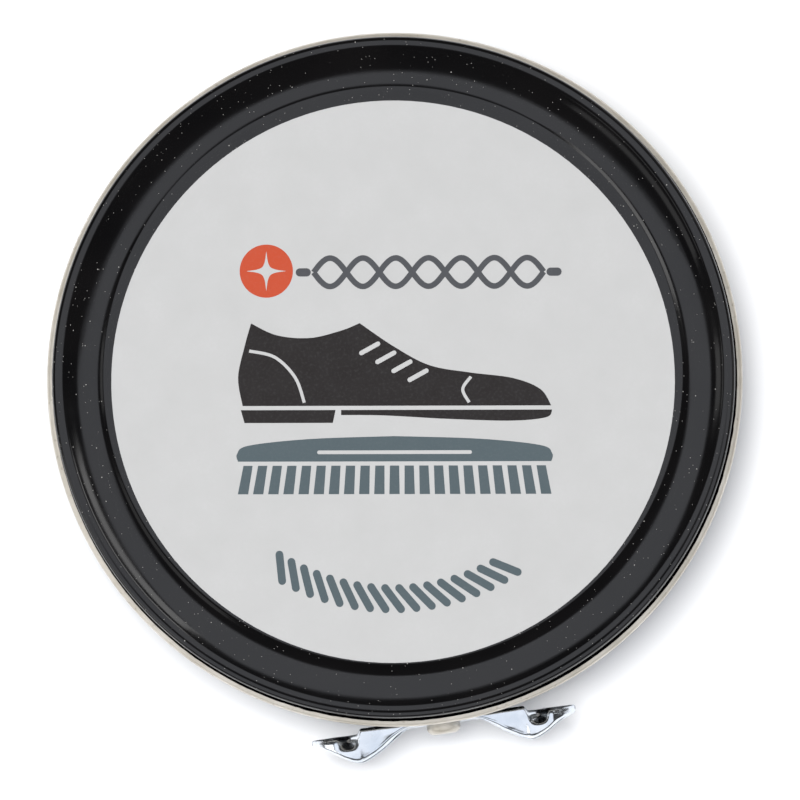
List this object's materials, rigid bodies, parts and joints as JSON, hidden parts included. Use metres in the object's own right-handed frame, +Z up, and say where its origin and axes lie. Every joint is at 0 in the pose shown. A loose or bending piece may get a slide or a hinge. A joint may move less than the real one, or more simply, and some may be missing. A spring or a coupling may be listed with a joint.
{
  "type": "shoe polish tin",
  "caption": "Round shallow tin of wax shoe polish with a press-on lid, a rolled rim and a riveted butterfly opener on the wall.",
  "frame": {"origin": "centre of the standing ring under the base, on the surface it stands on", "axes": "+Z up along the tin's round axis, towards the labelled lid; the opener key is on the -Y side; +X to the right when the key faces you"},
  "size_m": [0.076, 0.079, 0.0186],
  "materials": {
    "black_lacquer": "gloss",
    "label_paper": "satin",
    "base_lacquer": "gloss",
    "base_paper": "satin",
    "polish_wax": "waxy",
    "zinc_plate": "bright zinc plated",
    "rivet_tin": "satin, gold lacquer over tinplate",
    "washer_steel": "plain"
  },
  "bodies": {
    "base": {"base_can": "base_lacquer", "base_label": "base_paper", "polish": "polish_wax", "opener_rivet": "rivet_tin", "rivet_washer": "washer_steel"},
    "lid": {"lid_shell": "black_lacquer", "lid_label": "label_paper"},
    "key": {"opener_key": "zinc_plate"}
  },
  "joints": [
    {"name": "lid_lift", "type": "slide", "parent": "base", "child": "lid", "axis": [0, 0, 1], "range_m": [0, 0.016]},
    {"name": "key_turn", "type": "hinge", "parent": "base", "child": "key", "pos_m": [0, -0.037, 0.0086], "axis": [0, -1, 0], "range_deg": [0, 90]}
  ],
  "couplings": [
    {"joint": "key_turn", "follows": "lid_lift", "rad_per_m": 98.175}
  ]
}
